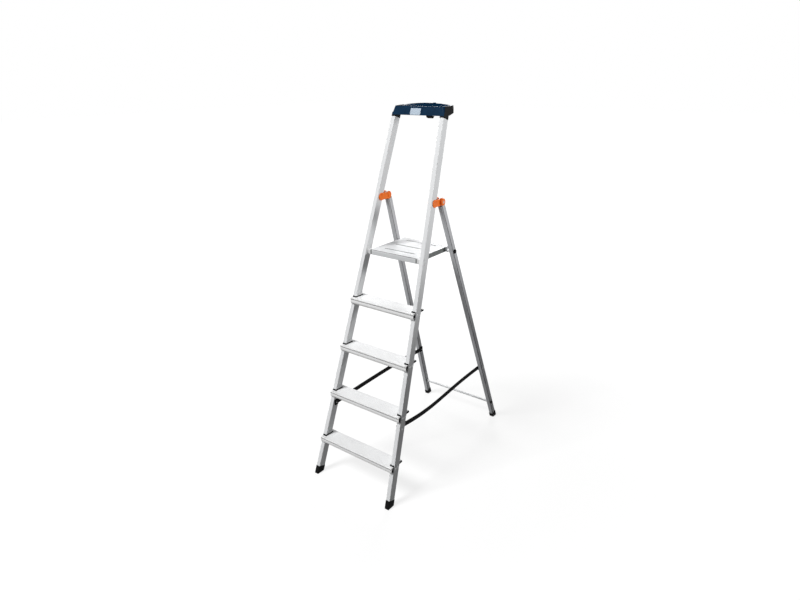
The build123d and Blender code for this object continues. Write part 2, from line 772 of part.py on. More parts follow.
def rear_leg():
    """Right rear leg: a box extrusion with a groove along its outer face."""
    tube = leg_bar(-cut, leg_top)
    tube = fillet(long_edges(tube), stile_rounding)
    tube -= leg_bar(-cut, leg_top + 1, *[-leg_wall] * 4)
    tube -= leg_bar(
        -cut,
        leg_top + 1,
        inner=leg_groove_depth - leg_width,
        outer=1,
        front=-leg_groove_inset,
        back=leg_groove_inset + leg_groove_width - leg_depth,
    )
    tube &= block(0, cut, -2 * cut, 3 * cut, rear_shoe_sole, 5 * cut)
    tube -= across(0, cut, crossbar_y, crossbar_height, crossbar_diameter / 2 + fit_gap)
    tube -= across(0, cut, leg_y(brace_height), brace_height, brace_diameter / 2 + fit_gap)
    return tube - leg_face(strap_rear_station) * rivet_hole()


def rear_shoe():
    """Black cap over the foot of the right rear leg."""
    shoe = leg_bar(-cut, rear_shoe_height / cos(fold), *[rear_shoe_wall] * 4)
    shoe = fillet(long_edges(shoe), shoe_rounding)
    shoe &= block(0, cut, 0, 3 * cut, 0, cut)
    shoe -= leg_bar(-cut, cut) & block(0, cut, 0, 3 * cut, rear_shoe_sole, cut)
    half = leg_depth / 2 / cos(fold)
    for bar in sole_grooves(rear_foot_y - half, rear_foot_y + half):
        shoe -= bar
    return shoe


def leg_head():
    """Plug in the top of the right leg, with a barrel that turns on the hinge pin."""
    barrel = across(hinge_half - leg_width, hinge_half, hinge_y, hinge_height, head_radius)
    half = leg_depth / 2 - leg_wall - neck_inset
    outline = Polygon(
        (-half, leg_top),
        (half, leg_top),
        (head_radius - leg_set_back, leg_length),
        (-head_radius - leg_set_back, leg_length),
    )
    neck = slab(leg_side, outline, hinge_half - leg_width, hinge_half)
    plug = leg_bar(leg_top - head_plug, leg_top, *[-leg_wall] * 4)
    return barrel + neck + plug - across(0, cut, hinge_y, hinge_height, hinge_pin_radius + running_gap)


def cross_tube(diameter, station, height):
    """A round tube across the rear frame, through both legs."""
    end = leg_outer(station) - plug_rim / 2
    y = leg_y(height)
    bore = across(-cut, cut, y, height, diameter / 2 - tube_wall)
    return across(-end, end, y, height, diameter / 2) - bore


def tube_plugs(diameter, station, height):
    """Black plugs in both ends of a cross tube, with heads over the legs' outer faces."""
    end = leg_outer(station)
    y = leg_y(height)
    head = across(end - plug_head, end + plug_head, y, height, diameter / 2 + plug_rim)
    head = fillet(head.edges().sort_by(Axis.X)[-1], plug_head * 0.5)
    head -= leg_bar(station - cut, station + cut)
    plug = head + across(end - plug_length, end + plug_head / 2, y, height, diameter / 2 - tube_wall)
    return group([plug, left_of(plug)])


# ---------------------------------------------------------------- platform

hook_port = deck_depth - port_radius - platform_wall / 2
cover_step = (cover_back - platform_front - port_radius) / cover_ports
cover_places = [cover_step * (number + 0.5) + port_radius for number in range(cover_ports)]
slot_pitch = (crossbar_y - platform_front - last_slot - first_slot) / (slot_count - 1)


def port(y):
    """Place of a screw port under the deck's skin, in the deck's side view."""
    return Pos(y, -port_drop)


def platform_deck():
    """Deck extrusion: skin, deep front edge, rear flange, screw ports, ribs on top and three slots."""
    skin = rect(0, deck_depth, -platform_skin, 0)
    edge = rect(0, platform_wall, -platform_edge, 0) + rect(0, platform_nose, -platform_nose, 0)
    hem = rect(0, 5 * platform_wall, -platform_edge, platform_wall - platform_edge)
    flange = rect(deck_depth - platform_wall, deck_depth, -platform_edge, 0)
    section = skin + edge + hem + flange
    low, high = section.vertices().group_by(Axis.X)[0].sort_by(Axis.Y)
    section = fillet(high, platform_nose)
    section = fillet(section.vertices().group_by(Axis.X)[0].sort_by(Axis.Y)[0], platform_wall * 0.9)
    lip = section & rect(0, cut, -platform_lip, 0) + rect(platform_nose, deck_depth, -platform_lip, 0)
    for y in cover_places + [hook_port]:
        section += port(y) * Circle(port_radius)
        section += rect(y - platform_wall / 2, y + platform_wall / 2, -port_drop, -platform_skin / 2)
    for y in cover_places + [hook_port]:
        section -= port(y) * Circle(rivet_radius + fit_gap)
    for number in range(int((deck_depth - 2 * platform_nose) / rib_pitch)):
        y = platform_nose + (number + 0.5) * rib_pitch
        section -= rect(y - rib_groove / 2, y + rib_groove / 2, -rib_height, rib_height)
    lips = slab(deck_plane, lip, -platform_half, platform_half)
    between = cover_inner - cover_width
    lips -= slab(deck_plane, rect(-cut, cut, -cut, cut), -between, between)
    deck = slab(deck_plane, section, -cover_inner, cover_inner) + lips
    for number in range(slot_count):
        y = platform_front + first_slot + number * slot_pitch
        slot = Pos(slot_shift, y, platform_top) * SlotOverall(slot_length, slot_width)
        deck -= extrude(slot, amount=-platform_skin - rib_height, dir=(0, 0, 1))
    return deck


def side_screw(y):
    """A countersunk place for a screw on the right-hand side of the platform."""
    return deck_plane * Pos(y, -port_drop, platform_half)


def screw():
    """A flat-headed screw with its head flush at z = 0."""
    length = 4 * cover_width
    shank = Pos(0, 0, -length / 2) * Cylinder(rivet_radius, length)
    return shank + Pos(0, 0, -rivet_head_height / 2) * Cylinder(screw_head, rivet_head_height)


def screwed(piece, ports):
    """A side piece with its screw holes and counterbores."""
    for y in ports:
        piece -= side_screw(y) * rivet_hole()
        sink = Cylinder(screw_head + fit_gap, rivet_head_height)
        piece -= side_screw(y) * Pos(0, 0, -rivet_head_height / 2) * sink
    return piece


def platform_cover():
    """Dark side cover under the deck's lip, with a deeper front part round the pivot hole."""
    back = cover_back - platform_front
    low = -platform_lip - cover_height
    outline = rect(0, back, low, -platform_lip) + rect(0, cover_front, -platform_edge, -platform_lip)
    outline = fillet(outline.vertices().group_by(Axis.X)[0].sort_by(Axis.Y)[0], platform_corner)
    cover = slab(deck_plane, outline, cover_inner, platform_half)
    cover -= across(0, cut, pivot_y, pivot_z, pivot_radius + running_gap)
    return screwed(cover, cover_places)


def platform_hook():
    """Hook over the crossbar: its seat is open downwards and to the front, so that the bar can leave."""
    bar = (crossbar_y - platform_front, crossbar_height - platform_top)
    seat_radius = crossbar_diameter / 2 + hook_seat_gap
    outline = rect(cover_back - platform_front, deck_depth, -platform_edge, -platform_lip)
    outline -= rect(0, bar[0] + seat_radius, -cut, bar[1])
    outline = fillet(outline.vertices().group_by(Axis.Y)[0], platform_corner)
    outline -= Pos(*bar) * Circle(seat_radius)
    return screwed(slab(deck_plane, outline, cover_inner, platform_half), [hook_port])


# ---------------------------------------------------------------- the ladder

save_pair("stile", stile())
for number, top in enumerate(tread_tops, 1):
    save("tread_%d" % number, tread(top))
    cap = tread_cap(top)
    save("tread_cap_right_%d" % number, cap)
    save("tread_cap_left_%d" % number, left_of(cap))
save("tread_rivets", stile_rivets(tread_rivets, stile_width + cap_wall))
save_pair("front_shoe", front_shoe())

save_pair("hinge_bracket", hinge_bracket())
save("hinge_rivets", stile_rivets([hinge_rivet], stile_width + hinge_cheek, hinge_cheek / 2))
save_pair("hinge_pin", hinge_pin())
save_pair("platform_bracket", platform_bracket())
save("platform_bracket_rivets", stile_rivets(bracket_rivets, stile_width + pivot_plate))
save_pair("platform_pin", platform_pin())

save("top_tray", top_tray())
save("tray_plate", tray_plate())
tray_rivet = tray_rivet_place * rivet(stile_depth / 2)
save("tray_rivets", group([tray_rivet, left_of(tray_rivet)]))
save("bucket_hook", bucket_hook())

save_pair("strap", strap())
front_bar = stile_bar(strap_front_station - cut, strap_front_station + cut)
front_clip = strap_clip(0, strap_front_height, front_bar, stile_face(*strap_rivet) * rivet_hole())
save_pair("front_strap_clip", front_clip)
strap_stack = strap_gap + 2 * clip_wall + strap_thickness
save("front_strap_rivets", stile_rivets([strap_rivet], stile_width + strap_stack))
rear_bar = leg_bar(strap_rear_station - cut, strap_rear_station + cut)
rear_clip = strap_clip(strap_run, strap_rear_height, rear_bar, leg_face(strap_rear_station) * rivet_hole())
save_pair("rear_strap_clip", rear_clip)
rear_rivet = leg_face(strap_rear_station) * rivet(leg_width + strap_gap + strap_stack)
save("rear_strap_rivets", group([rear_rivet, left_of(rear_rivet)]))

save_pair("rear_leg", rear_leg())
save_pair("leg_head", leg_head())
save_pair("rear_shoe", rear_shoe())
save("platform_crossbar", cross_tube(crossbar_diameter, crossbar_station, crossbar_height))
save("crossbar_plugs", tube_plugs(crossbar_diameter, crossbar_station, crossbar_height))
save("rear_brace", cross_tube(brace_diameter, brace_station, brace_height))
save("brace_plugs", tube_plugs(brace_diameter, brace_station, brace_height))

save("platform_deck", platform_deck())
save_pair("platform_cover", platform_cover())
save_pair("platform_hook", platform_hook())
side_screws = [side_screw(y) * screw() for y in cover_places + [hook_port]]
save("platform_screws", group(side_screws + [left_of(piece) for piece in side_screws]))
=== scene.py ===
"""Folding platform step ladder: finishes, straps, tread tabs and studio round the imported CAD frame."""

from math import cos, pi, radians, sin, tan

import bmesh
import bpy
from mathutils import Matrix, Vector


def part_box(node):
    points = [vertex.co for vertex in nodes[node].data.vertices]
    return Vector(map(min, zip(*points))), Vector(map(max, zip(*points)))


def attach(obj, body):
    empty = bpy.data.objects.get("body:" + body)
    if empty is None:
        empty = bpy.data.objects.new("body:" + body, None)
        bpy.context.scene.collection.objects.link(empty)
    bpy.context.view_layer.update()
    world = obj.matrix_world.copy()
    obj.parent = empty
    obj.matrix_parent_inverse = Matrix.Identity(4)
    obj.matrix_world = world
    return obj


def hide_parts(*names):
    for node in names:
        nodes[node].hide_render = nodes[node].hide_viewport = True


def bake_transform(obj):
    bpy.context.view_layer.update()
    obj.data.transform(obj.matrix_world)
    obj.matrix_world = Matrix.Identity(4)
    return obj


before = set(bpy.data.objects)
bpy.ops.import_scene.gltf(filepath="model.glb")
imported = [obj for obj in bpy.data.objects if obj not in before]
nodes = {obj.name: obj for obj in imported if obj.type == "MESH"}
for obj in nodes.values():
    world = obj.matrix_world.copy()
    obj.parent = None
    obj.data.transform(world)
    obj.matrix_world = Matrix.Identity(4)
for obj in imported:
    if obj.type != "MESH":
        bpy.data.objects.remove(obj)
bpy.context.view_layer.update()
SIDES = ("left", "right")

# ---- driving values, metres and degrees
FRONT_LEAN = 18.15             # of the stiles, from upright
REAR_LEAN = 19.7               # of the rear legs
TRAY_BOTTOM = 1.6335           # lower edge of the tray's walls
LEG_GROOVE = (0.4355, 0.4395)  # groove of the rear legs, painted dark as shade, on an axis square to them
DECK_SLOT = (1.0523, 1.0541)   # heights of the walls of the deck's slots, painted dark as shade
TREADS = 4
FIRST_TREAD = 0.187
TREAD_PITCH = 0.217
NOSE_LINE = (-0.0088, -0.0066)  # line of painted shade along a tread's nose, from its top
HINGE_OUTSIDE = 0.163          # outer ends of the hinge pins lie beyond this, painted pale as a highlight
FOOT_INSET = 0.001368          # stiles' front face at the floor, behind the shoes' front edge
STILE_INNER = 0.2055           # inner face of a stile from the middle, at the floor
STILE_TAPER = 0.05378          # and how much nearer per metre of height

# ---- straps
STRAP_WIDTH = 0.024
STRAP_THICKNESS = 0.0016
STRAP_PAST = 0.012             # past each clip's middle, share of the run between the clips
STRAP_SAG = {"right": 0.0155, "left": -0.001}
STRAP_WAVE = {"right": 0.008, "left": 0.001}   # lower near the front clip, higher near the rear one
STRAP_BOW = {"right": 0.0, "left": 0.008}      # outwards in the middle
STRAP_STEPS = 96               # along the strap
STRAP_COLUMNS = 8              # across it
SELVEDGE_PLACE = 0.42          # from the middle, share of the width
SELVEDGE_HALF = 0.05
SELVEDGE_THICKER = 0.25
EDGE_THINNER = 0.6
EDGE_POWER = 12                # how late the band thins towards its edge
WEAVE_PITCH = (0.0022, 0.0018)  # along and across
WEAVE_SCALE = 0.32             # a band of the cross weave is then about one pitch

# ---- tabs over the treads' ends
TAB_FOOT = 0.0042              # tab's foot over the tread's top
TAB_FRONT = 0.013              # and behind the stile's front face
TAB_LENGTH = 0.027
TAB_HEIGHT = 0.0125
TAB_ROUND = 0.006
TAB_STEPS = 5
TAB_SLANT = 0.0018             # of the front edge
TAB_THICK = 0.0018
TAB_EDGE = 0.0005
TAB_GAP = 0.0001

# ---- finishes: sizes and depths in metres, the rest shares
METALLIC = 0.04
METAL_GLOSS = 0.2
LINE_SIZE = 0.0012             # drawing lines of extruded aluminium
LINE_STRETCH = 0.012
LINE_SHADE = 0.9
LINE_DEPTH = 0.00003
RIB_DEPTH = 0.00006            # coarser lines of the ribbed treads and deck
GRAIN_SIZE = 0.0012            # of bare aluminium
GRAIN_SHARE = 0.4
CLOUD_SIZE = 0.09
CLOUD_SHARE = 0.3
CLOUD_SHADE = 0.86
SCUFF_SIZE = 0.006
SCUFF_STRETCH = 0.05
SCUFF_SHARE = 0.22
SCUFF_SHADE = 0.62
GROOVE_SHADE_SHARE = (0.85, 1.0)       # least and most painted shade, in a groove
LINE_SHARE = (0.6, 0.9)        # the same, for the painted shade along a tread's nose
NOSE_FACING = -0.25            # faces turned further forward than this are a tread's front, painted paler as painted light
FLOW_SIZE = 0.022              # flow marks of moulded plastic
SPECK_SIZE = 0.0035
SPECK_SHARE = 0.3
SPECK_PALER = (1.18, 0.006)    # factor, and what is added to it
WEAR_RADIUS = 0.0012           # of the edges that wear pale
WEAR_SAMPLES = 4
WEAR_SIZE = 0.007
WEAR_SHARE = 0.5
WEAR_PALER = (1.5, 0.02)
SHADED_END_FACING = (0.75, 0.9)      # how far a face turns sideways to be an end, which is painted dark as shade
FADE = 0.0008                  # half the height over which two tones meet
STEEL_METALLIC = 0.5
STEEL_GLOSS = 0.4
STEEL_GRAIN = 0.0009
STEEL_DINGS = 0.004
STEEL_SHADE = 0.85
FUZZ_SIZE = 0.0008             # of the webbing
FUZZ_SHARE = 0.4
FUZZ_PALER = 1.7
CROSS_SHARE = 0.7              # height of the threads across, beside those along
WEAVE_SHADE = 0.45
WEAVE_DEPTH = 0.0003

FRAME = (0.80, 0.81, 0.82)
TREAD = (0.78, 0.785, 0.79)
# rear legs: the stiles' aluminium made darker, as painted shade
SHADED_LEG = (0.60, 0.61, 0.63)
DECK = (0.68, 0.69, 0.70)
# tread fronts painted paler, as painted light
LIT_TREAD_FRONT = (0.95, 0.95, 0.95)
BLACK = (0.004, 0.004, 0.0045)
RUBBER = (0.008, 0.008, 0.0085)
# painted shade, for grooves, slots and the line along a tread's nose
PAINTED_SHADE = (0.05, 0.05, 0.055)
ORANGE = (1.0, 0.19, 0.008)
# outer ends of the hinge pins, painted pale pink as a highlight on the orange
PIN_END_HIGHLIGHT = (0.95, 0.56, 0.46)
GREY = (0.16, 0.165, 0.17)
DARK_GREY = (0.22, 0.235, 0.23)
BLUE = (0.0, 0.021, 0.056)
PLATE = (0.47, 0.56, 0.66)
RIVET = (0.6, 0.6, 0.61)
DARK_STEEL = (0.2, 0.2, 0.2)
WEB = (0.010, 0.010, 0.011)

# ---- studio and camera
FLOOR_SIZE = 60.0
FLOOR_GREY = (0.22, 0.22, 0.22)
FLOOR_NEAR = 0.80              # floor's own brightness near the ladder; it rises to white further off
FLOOR_RISE = (0.8, 4.5)        # distances between which it rises
AMBIENT = 0.04                 # world light on diffuse surfaces
CAMERA_FROM_FOOT = (1.54420, -1.63845, 1.79603)   # from the middle of the stiles' feet
CAMERA_TURN = (37.157, -20.881, -0.613)           # yaw, pitch, roll
CAMERA_LENS = 26.507
SENSOR = 36.0

foot_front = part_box("front_shoe_left")[0][1] + FOOT_INSET


def middle(name):
    """Middle of a CAD node's box."""
    low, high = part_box(name)
    return (Vector(low) + Vector(high)) / 2


def put(name, data):
    """Adds an object to the scene."""
    made = bpy.data.objects.new(name, data)
    bpy.context.scene.collection.objects.link(made)
    return made


def mesh_of(name, data):
    """Mesh made from a bmesh, which is freed."""
    mesh = bpy.data.meshes.new(name)
    data.to_mesh(mesh)
    data.free()
    return mesh


# ---------------------------------------------------------------- node helpers

def scaled(colour, factor, added=0.0):
    """A colour made darker or paler, up to white."""
    return tuple(min(1.0, c * factor + added) for c in colour)


class Nodes:
    """Helpers that add nodes to one node tree and link them."""

    def __init__(self, tree):
        self.tree = tree

    def node(self, kind, links=(), **values):
        """Adds a node; values set its properties, or its inputs where the key is an input's name."""
        made = self.tree.nodes.new("ShaderNode" + kind)
        for key, value in values.items():
            if hasattr(made, key):
                setattr(made, key, value)
            else:
                made.inputs[key.replace("_", " ")].default_value = value
        for socket, source in dict(links).items():
            self.tree.links.new(source, made.inputs[socket])
        return made

    def spread(self, factor, low, high, start=0.3, end=0.7):
        """Maps a factor from start..end to low..high."""
        made = self.node("MapRange", {"Value": factor})
        for socket, value in zip(("From Min", "From Max", "To Min", "To Max"), (start, end, low, high)):
            made.inputs[socket].default_value = value
        return made.outputs["Result"]

    def maths(self, operation, first, second=0.0):
        """Sum, product and so on of two numbers or sockets."""
        made = self.node("Math", operation=operation)
        for socket, value in enumerate((first, second)):
            if isinstance(value, (int, float)):
                made.inputs[socket].default_value = value
            else:
                self.tree.links.new(value, made.inputs[socket])
        return made.outputs[0]

    def within(self, value, low, high):
        """1 where a value lies between two others, else 0."""
        above = self.maths("GREATER_THAN", value, low)
        return self.maths("MULTIPLY", above, self.maths("LESS_THAN", value, high))

    def seen(self):
        """1 for camera, glossy and transmission rays, else 0."""
        path = self.node("LightPath")
        first = self.maths("MAXIMUM", path.outputs["Is Camera Ray"], path.outputs["Is Glossy Ray"])
        return self.maths("MAXIMUM", first, path.outputs["Is Transmission Ray"])


class Material(Nodes):
    """A node material on one Principled shader."""

    def __init__(self, name, **sockets):
        self.material = bpy.data.materials.new(name)
        self.material.use_nodes = True
        super().__init__(self.material.node_tree)
        self.shader = self.tree.nodes["Principled BSDF"]
        for socket, value in sockets.items():
            self.shader.inputs[socket.replace("_", " ")].default_value = value

    def link(self, source, socket):
        self.tree.links.new(source, self.shader.inputs[socket])

    def place(self, turn=(0, 0, 0), scale=(1, 1, 1)):
        """Object coordinates, turned and then stretched."""
        where = self.node("TexCoord").outputs["Object"]
        turned = self.node("Mapping", {"Vector": where}, vector_type="POINT", Rotation=turn)
        return self.node("Mapping", {"Vector": turned.outputs[0]}, Scale=scale).outputs[0]

    def axis(self, vector, name):
        """One axis of a vector."""
        return self.node("SeparateXYZ", {0: vector}).outputs[name]

    def normal(self):
        return self.node("NewGeometry").outputs["Normal"]

    def noise(self, where, size, detail=3.0, rough=0.5):
        """Noise whose cells are about size metres across."""
        made = self.node("TexNoise", {"Vector": where}, Scale=1 / size, Detail=detail, Roughness=rough)
        return made.outputs["Fac"]

    def mix(self, factor, first, second):
        """Mixes two colours by a factor; a colour may be a tuple or a socket."""
        made = self.tree.nodes.new("ShaderNodeMix")
        made.data_type = "RGBA"
        self.tree.links.new(factor, made.inputs["Factor"])
        for socket, value in ((6, first), (7, second)):
            if isinstance(value, tuple):
                made.inputs[socket].default_value = (*value, 1)
            else:
                self.tree.links.new(value, made.inputs[socket])
        return made.outputs[2]

    def bump(self, height, depth):
        """Bump whose full height is depth metres."""
        made = self.node("Bump", {"Height": height}, Strength=1.0, Distance=depth)
        self.link(made.outputs[0], "Normal")
        return self


# ---------------------------------------------------------------- finishes

def tread_nose(made, wear_and_painted_light, plain, clouds):
    """Front of a tread painted paler as painted light, with a line of painted shade along its nose."""
    front = made.maths("LESS_THAN", made.axis(made.normal(), "Y"), NOSE_FACING)
    shifted = made.maths("ADD", made.axis(plain, "Z"), TREAD_PITCH / 2 - FIRST_TREAD)
    height = made.maths("SUBTRACT", made.maths("MODULO", shifted, TREAD_PITCH), TREAD_PITCH / 2)
    # front faces painted paler, as painted light
    wear_and_painted_light = made.mix(front, wear_and_painted_light, LIT_TREAD_FRONT)
    # the line along the nose: painted shade
    line = made.maths("MULTIPLY", made.within(height, *NOSE_LINE), front)
    return made.mix(made.maths("MULTIPLY", line, made.spread(clouds, *LINE_SHARE)), wear_and_painted_light, PAINTED_SHADE)


def metal(name, colour, along, lean=0.0, roughness=0.4, line_depth=LINE_DEPTH, groove_shade=None, nose=False):
    """Extruded aluminium: fine drawing lines along one axis, soft clouding and a few scuffs.

    lean is the angle of the piece from upright. A groove's axis and range, once the lean is
    taken out, may be given, and the groove is painted dark as shade. nose adds a tread's front,
    painted paler as light, and its line of painted shade.
    """
    made = Material(name, Metallic=METALLIC, Specular_IOR_Level=METAL_GLOSS)
    turn = (radians(lean), 0, 0)

    def drawn(stretch):
        return made.place(turn, [stretch if axis == along else 1.0 for axis in "xyz"])

    lines = made.noise(drawn(LINE_STRETCH), LINE_SIZE, detail=4.0, rough=0.7)
    plain = made.place()
    clouds = made.noise(plain, CLOUD_SIZE, detail=2.0)
    scuffs = made.noise(drawn(SCUFF_STRETCH), SCUFF_SIZE, detail=5.0, rough=0.8)
    grain = made.noise(plain, GRAIN_SIZE, detail=2.0)
    tint = made.mix(made.spread(lines, 0, 1), scaled(colour, LINE_SHADE), colour)
    cloudy = made.mix(made.spread(clouds, 0, CLOUD_SHARE), tint, scaled(colour, CLOUD_SHADE))
    scuffed = made.spread(scuffs, 0, SCUFF_SHARE, start=0.58, end=0.72)
    wear_and_painted_light = made.mix(scuffed, cloudy, scaled(colour, SCUFF_SHADE))
    if nose:
        wear_and_painted_light = tread_nose(made, wear_and_painted_light, plain, clouds)
    # a groove painted dark, as painted shade
    if groove_shade:
        axis, low, high = groove_shade
        inside = made.within(made.axis(made.place(turn), axis), low, high)
        wear_and_painted_light = made.mix(made.maths("MULTIPLY", inside, made.spread(clouds, *GROOVE_SHADE_SHARE)), wear_and_painted_light, PAINTED_SHADE)
    made.link(wear_and_painted_light, "Base Color")
    uneven = made.maths("ADD", lines, clouds)
    made.link(made.spread(uneven, roughness - 0.07, roughness + 0.09, start=0.7, end=1.3), "Roughness")
    height = made.maths("ADD", lines, made.maths("MULTIPLY", grain, GRAIN_SHARE))
    return made.bump(height, line_depth).material


def plastic(name, colour, roughness, grain_size, grain_depth, shade=0.8, gloss=0.05, under_and_shaded_ends=None, inner=None):
    """Moulded plastic: spark-eroded grain, faint flow marks, uneven gloss, and edges that wear paler.

    A height and a second colour may be given, for what lies under the height and, as painted
    shade, for both end faces. inner gives a distance from the middle and a colour for what lies
    nearer to it.
    """
    made = Material(name, Specular_IOR_Level=gloss)
    where = made.place()
    flow = made.noise(where, FLOW_SIZE)
    grain = made.noise(where, grain_size, detail=2.0, rough=0.6)
    speck = made.noise(where, SPECK_SIZE, detail=2.0, rough=0.7)
    base = made.mix(made.spread(flow, 0, 1), scaled(colour, shade), colour)
    speckled = made.spread(speck, 0, SPECK_SHARE, start=0.5, end=0.75)
    base = made.mix(speckled, base, scaled(colour, *SPECK_PALER))
    edge = made.node("Bevel", Radius=WEAR_RADIUS, samples=WEAR_SAMPLES)
    turned = made.node("VectorMath", {0: edge.outputs[0], 1: made.normal()}, operation="DOT_PRODUCT")
    wear = made.spread(turned.outputs["Value"], WEAR_SHARE, 0, start=0.78, end=0.99)
    patchy = made.spread(made.noise(where, WEAR_SIZE), 0, 1, start=0.4, end=0.6)
    base = made.mix(made.maths("MULTIPLY", wear, patchy), base, scaled(colour, *WEAR_PALER))
    if inner:
        out = made.maths("ABSOLUTE", made.axis(where, "X"))
        base = made.mix(made.maths("LESS_THAN", out, inner[0]), base, inner[1])
    if under_and_shaded_ends:
        # both end faces painted dark, as painted shade
        side = made.maths("ABSOLUTE", made.axis(made.normal(), "X"))
        base = made.mix(made.spread(side, 0, 1, *SHADED_END_FACING), base, under_and_shaded_ends[1])
        under = made.spread(made.axis(where, "Z"), 1, 0, under_and_shaded_ends[0] - FADE, under_and_shaded_ends[0] + FADE)
        base = made.mix(under, base, under_and_shaded_ends[1])
    made.link(base, "Base Color")
    made.link(made.spread(flow, roughness - 0.06, roughness + 0.08), "Roughness")
    return made.bump(grain, grain_depth).material


def steel(name, colour, roughness):
    """Pressed steel: a faint grain and small dings."""
    made = Material(name, Metallic=STEEL_METALLIC, Specular_IOR_Level=STEEL_GLOSS)
    where = made.place()
    fine = made.noise(where, STEEL_GRAIN)
    dings = made.noise(where, STEEL_DINGS, detail=2.0)
    made.link(made.mix(made.spread(dings, 0, 1), scaled(colour, STEEL_SHADE), colour), "Base Color")
    made.link(made.spread(fine, roughness - 0.08, roughness + 0.1), "Roughness")
    return made.bump(fine, LINE_DEPTH).material


def webbing(name, colour):
    """Woven strap: the weave is on the strap's own length and width, kept in its UV map."""
    made = Material(name, Roughness=0.85, Specular_IOR_Level=0.1, Sheen_Weight=0.05, Sheen_Roughness=0.5)
    flat = made.node("TexCoord").outputs["UV"]
    rows = made.node("Mapping", {"Vector": flat}, Scale=(*(1 / pitch for pitch in WEAVE_PITCH), 1)).outputs[0]
    weave, cross = (
        made.node("TexWave", {"Vector": rows}, wave_type="BANDS", bands_direction=way, Scale=WEAVE_SCALE)
        for way in ("DIAGONAL", "Y")
    )
    across = made.maths("MULTIPLY", cross.outputs["Fac"], CROSS_SHARE)
    height = made.maths("MAXIMUM", weave.outputs["Fac"], across)
    fuzz = made.noise(made.place(), FUZZ_SIZE)
    base = made.mix(made.spread(height, 0, 1, start=0.1, end=0.9), scaled(colour, WEAVE_SHADE), colour)
    made.link(made.mix(made.spread(fuzz, 0, FUZZ_SHARE), base, scaled(colour, FUZZ_PALER)), "Base Color")
    relief = made.maths("ADD", height, made.maths("MULTIPLY", fuzz, 0.5))
    return made.bump(relief, WEAVE_DEPTH).material


stile_metal = metal("stile_aluminium", FRAME, "z", lean=FRONT_LEAN)
# rear legs: darker than the stiles as painted shade, with their groove painted dark as shade
leg_metal = metal("leg_aluminium", SHADED_LEG, "z", lean=-REAR_LEAN, groove_shade=("Y", *LEG_GROOVE))
# deck: walls of its slots painted dark, as painted shade
deck_metal = metal(
    "deck_aluminium", DECK, "x", roughness=0.46, line_depth=RIB_DEPTH, groove_shade=("Z", *DECK_SLOT)
)
# treads: front faces painted paler as light, with a line of painted shade along the nose
tread_metal = metal("tread_aluminium", TREAD, "x", roughness=0.46, line_depth=RIB_DEPTH, nose=True)
tube_metal = metal("tube_aluminium", FRAME, "x")
bracket_metal = metal("bracket_aluminium", TREAD, "z", roughness=0.45)
black = plastic("black_plastic", BLACK, roughness=0.5, grain_size=0.0009, grain_depth=0.00005)
rubber = plastic("black_rubber", RUBBER, roughness=0.66, grain_size=0.0012, grain_depth=0.00012)
orange = plastic(
    "orange_plastic", ORANGE, roughness=0.36, grain_size=0.0011, grain_depth=0.00003, shade=0.9, gloss=0.3
)
grey = plastic("grey_plastic", GREY, roughness=0.5, grain_size=0.0009, grain_depth=0.00005)
cover = plastic("dark_grey_plastic", DARK_GREY, roughness=0.5, grain_size=0.0009, grain_depth=0.00005)
# tray: black under its walls, and its end faces painted black as shade
blue = plastic(
    "blue_plastic", BLUE, roughness=0.4, grain_size=0.0012, grain_depth=0.00004, shade=0.75, gloss=0.06,
    under_and_shaded_ends=(TRAY_BOTTOM, BLACK),
)
pale = plastic(
    "plate_plastic", PLATE, roughness=0.4, grain_size=0.0008, grain_depth=0.00002, shade=0.9, gloss=0.2
)
# hinge pins: outer ends painted pale pink, as a painted highlight on the orange
pin_cap_highlight = plastic(
    "pin_cap_highlight", PIN_END_HIGHLIGHT, roughness=0.4, grain_size=0.0009, grain_depth=0.00003, shade=0.9, gloss=0.3,
    inner=(HINGE_OUTSIDE, ORANGE),
)
rivet_steel = steel("rivet_steel", RIVET, roughness=0.36)
dark_steel = steel("dark_steel", DARK_STEEL, roughness=0.4)
strap_web = webbing("webbing", WEB)

FINISHES = {
    "stile": stile_metal,
    "rear_leg": leg_metal,
    "tread_cap": black,
    "tread_rivets": rivet_steel,
    "tread": tread_metal,
    "platform_deck": deck_metal,
    "platform_cover": cover,
    "platform_hook": bracket_metal,
    "platform_bracket": bracket_metal,
    "platform_bracket_rivets": rivet_steel,
    "platform_crossbar": tube_metal,
    "platform_pin": rivet_steel,
    "platform_screws": dark_steel,
    "rear_brace": tube_metal,
    "brace_plugs": black,
    "crossbar_plugs": black,
    "front_shoe": rubber,
    "rear_shoe": rubber,
    "front_strap_clip": black,
    "rear_strap_clip": black,
    "front_strap_rivets": rivet_steel,
    "rear_strap_rivets": rivet_steel,
    "bucket_hook": black,
    "hinge_bracket": orange,
    "hinge_pin": pin_cap_highlight,
    "hinge_rivets": orange,
    "leg_head": grey,
    "top_tray": blue,
    "tray_plate": pale,
    "tray_rivets": rivet_steel,
    "strap": strap_web,
}


def finish_of(name):
    """The finish whose key is the longest start of the node's name."""
    return FINISHES[max((key for key in FINISHES if name.startswith(key)), key=len)]


for name, node in nodes.items():
    node.data.materials.clear()
    node.data.materials.append(finish_of(name))


def finish_piece(name, data, finish):
    """Turns a bmesh into a named piece of the scene."""
    bmesh.ops.recalc_face_normals(data, faces=data.faces)
    mesh = mesh_of(name, data)
    mesh.materials.append(finish)
    piece = put(name, mesh)
    return piece


# ---------------------------------------------------------------- straps

def strap_point(side, start, run, t):
    """Centre of the strap a share t of the way from its front clip."""
    drop = STRAP_SAG[side] * 4 * t * (1 - t) + STRAP_WAVE[side] * sin(2 * pi * t)
    out = STRAP_BOW[side] * 4 * t * (1 - t) * (1 if side == "right" else -1)
    return start + run * t + Vector((out, 0, -drop))


